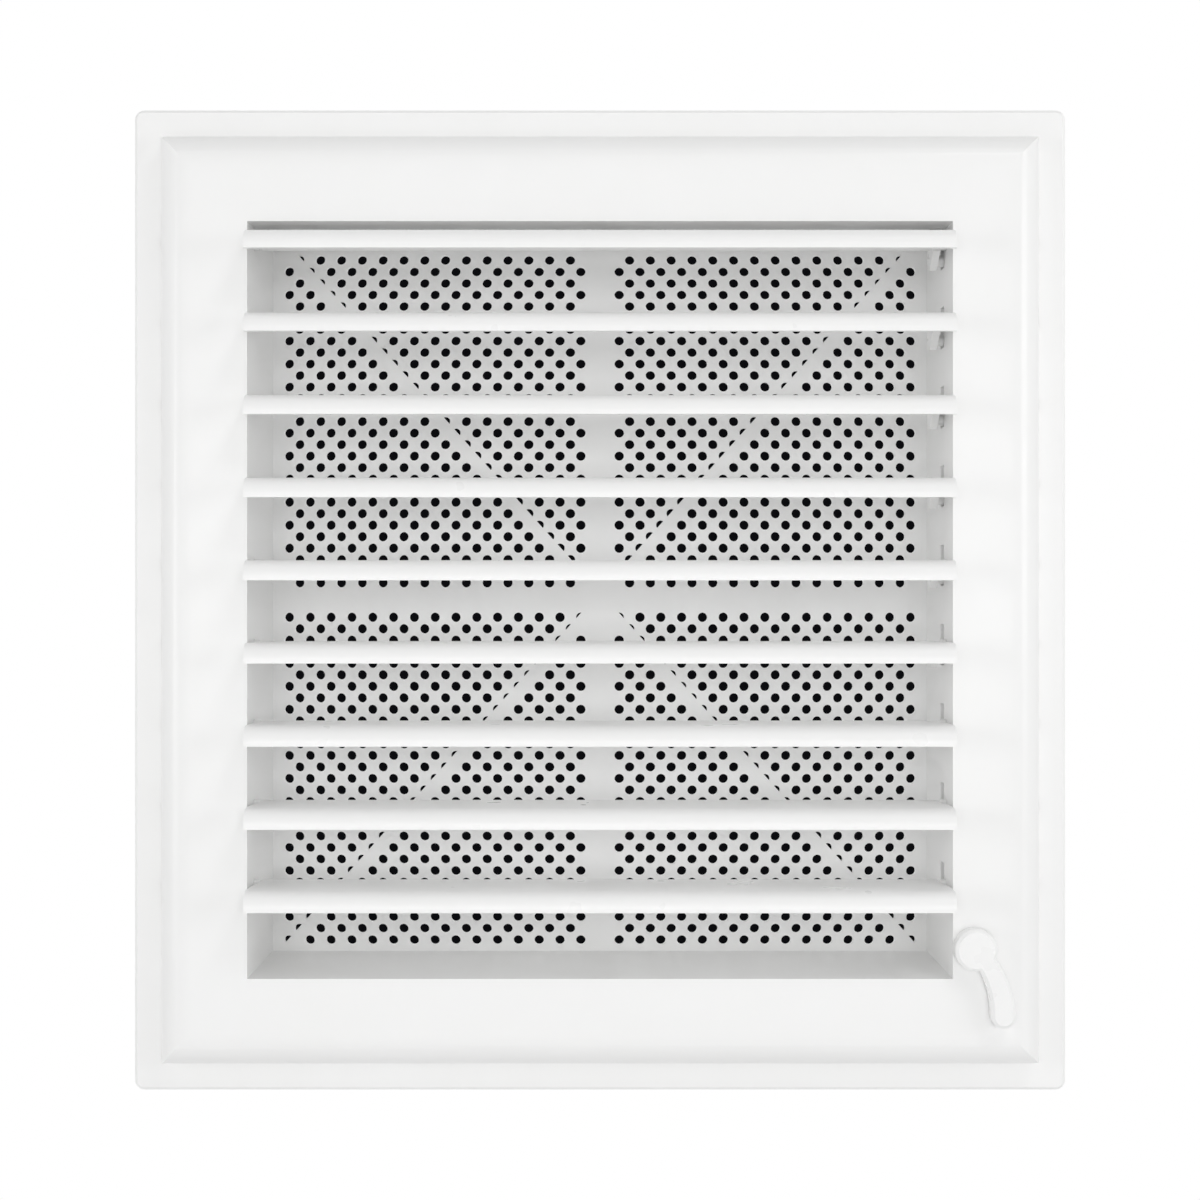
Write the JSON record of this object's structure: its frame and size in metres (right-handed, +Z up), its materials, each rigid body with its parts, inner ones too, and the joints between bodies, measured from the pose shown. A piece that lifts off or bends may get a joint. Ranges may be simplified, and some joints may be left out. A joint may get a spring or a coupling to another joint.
{
  "type": "closable plastic vent grille",
  "caption": "White plastic wall vent grille with louvres that open and close together by a corner lever, in a rounded frame with a fine insect screen behind.",
  "frame": {"origin": "centre of the four fixing holes, on the wall's surface", "axes": "+X to the right seen from the front, +Y into the wall, +Z up"},
  "size_m": [0.19, 0.0429, 0.2],
  "materials": {
    "frame_plastic": "smooth white moulded plastic",
    "louvre_plastic": "smooth white moulded plastic",
    "screen_plastic": "fine white moulded mesh",
    "lever_plastic": "smooth white moulded plastic",
    "hidden_plastic": "white moulded plastic, hidden"
  },
  "bodies": {
    "grille_body": {"front_frame": "frame_plastic", "wall_frame": "frame_plastic", "insect_screen": "screen_plastic"},
    "louvre_1_body": {"louvre_1": "louvre_plastic"},
    "louvre_2_body": {"louvre_2": "louvre_plastic"},
    "louvre_3_body": {"louvre_3": "louvre_plastic"},
    "louvre_4_body": {"louvre_4": "louvre_plastic"},
    "louvre_5_body": {"louvre_5": "louvre_plastic"},
    "louvre_6_body": {"louvre_6": "louvre_plastic"},
    "louvre_7_body": {"louvre_7": "louvre_plastic"},
    "louvre_8_body": {"louvre_8": "louvre_plastic"},
    "louvre_9_body": {"louvre_9": "louvre_plastic"},
    "tie_bar_body": {"tie_bar": "hidden_plastic"},
    "lever_body": {"lever": "lever_plastic", "lever_crank": "hidden_plastic"}
  },
  "joints": [
    {"name": "lever_turn", "type": "hinge", "parent": "grille_body", "child": "lever_body", "pos_m": [0.0748, -0.0103, -0.0696], "axis": [0, -1, 0], "range_deg": [0, 58]},
    {"name": "louvre_1_turn", "type": "hinge", "parent": "grille_body", "child": "louvre_1_body", "pos_m": [0, -0.0015, 0.0725], "axis": [1, 0, 0], "range_deg": [0, 74]},
    {"name": "louvre_2_turn", "type": "hinge", "parent": "grille_body", "child": "louvre_2_body", "pos_m": [0, -0.0015, 0.05617], "axis": [1, 0, 0], "range_deg": [0, 74]},
    {"name": "louvre_3_turn", "type": "hinge", "parent": "grille_body", "child": "louvre_3_body", "pos_m": [0, -0.0015, 0.03983], "axis": [1, 0, 0], "range_deg": [0, 74]},
    {"name": "louvre_4_turn", "type": "hinge", "parent": "grille_body", "child": "louvre_4_body", "pos_m": [0, -0.0015, 0.0235], "axis": [1, 0, 0], "range_deg": [0, 74]},
    {"name": "louvre_5_turn", "type": "hinge", "parent": "grille_body", "child": "louvre_5_body", "pos_m": [0, -0.0015, 0.00717], "axis": [1, 0, 0], "range_deg": [0, 74]},
    {"name": "louvre_6_turn", "type": "hinge", "parent": "grille_body", "child": "louvre_6_body", "pos_m": [0, -0.0015, -0.00917], "axis": [1, 0, 0], "range_deg": [0, 74]},
    {"name": "louvre_7_turn", "type": "hinge", "parent": "grille_body", "child": "louvre_7_body", "pos_m": [0, -0.0015, -0.0255], "axis": [1, 0, 0], "range_deg": [0, 74]},
    {"name": "louvre_8_turn", "type": "hinge", "parent": "grille_body", "child": "louvre_8_body", "pos_m": [0, -0.0015, -0.04183], "axis": [1, 0, 0], "range_deg": [0, 74]},
    {"name": "louvre_9_turn", "type": "hinge", "parent": "grille_body", "child": "louvre_9_body", "pos_m": [0, -0.0015, -0.05817], "axis": [1, 0, 0], "range_deg": [0, 74]},
    {"name": "tie_bar_pivot", "type": "hinge", "parent": "louvre_5_body", "child": "tie_bar_body", "pos_m": [0.0734, 0.00209, 0.00446], "axis": [1, 0, 0], "range_deg": [-74, 0]}
  ],
  "couplings": [
    {"joint": "louvre_1_turn", "follows": "lever_turn", "ratio": 1.2759},
    {"joint": "louvre_2_turn", "follows": "lever_turn", "ratio": 1.2759},
    {"joint": "louvre_3_turn", "follows": "lever_turn", "ratio": 1.2759},
    {"joint": "louvre_4_turn", "follows": "lever_turn", "ratio": 1.2759},
    {"joint": "louvre_5_turn", "follows": "lever_turn", "ratio": 1.2759},
    {"joint": "louvre_6_turn", "follows": "lever_turn", "ratio": 1.2759},
    {"joint": "louvre_7_turn", "follows": "lever_turn", "ratio": 1.2759},
    {"joint": "louvre_8_turn", "follows": "lever_turn", "ratio": 1.2759},
    {"joint": "louvre_9_turn", "follows": "lever_turn", "ratio": 1.2759},
    {"joint": "tie_bar_pivot", "follows": "lever_turn", "ratio": -1.2759}
  ]
}
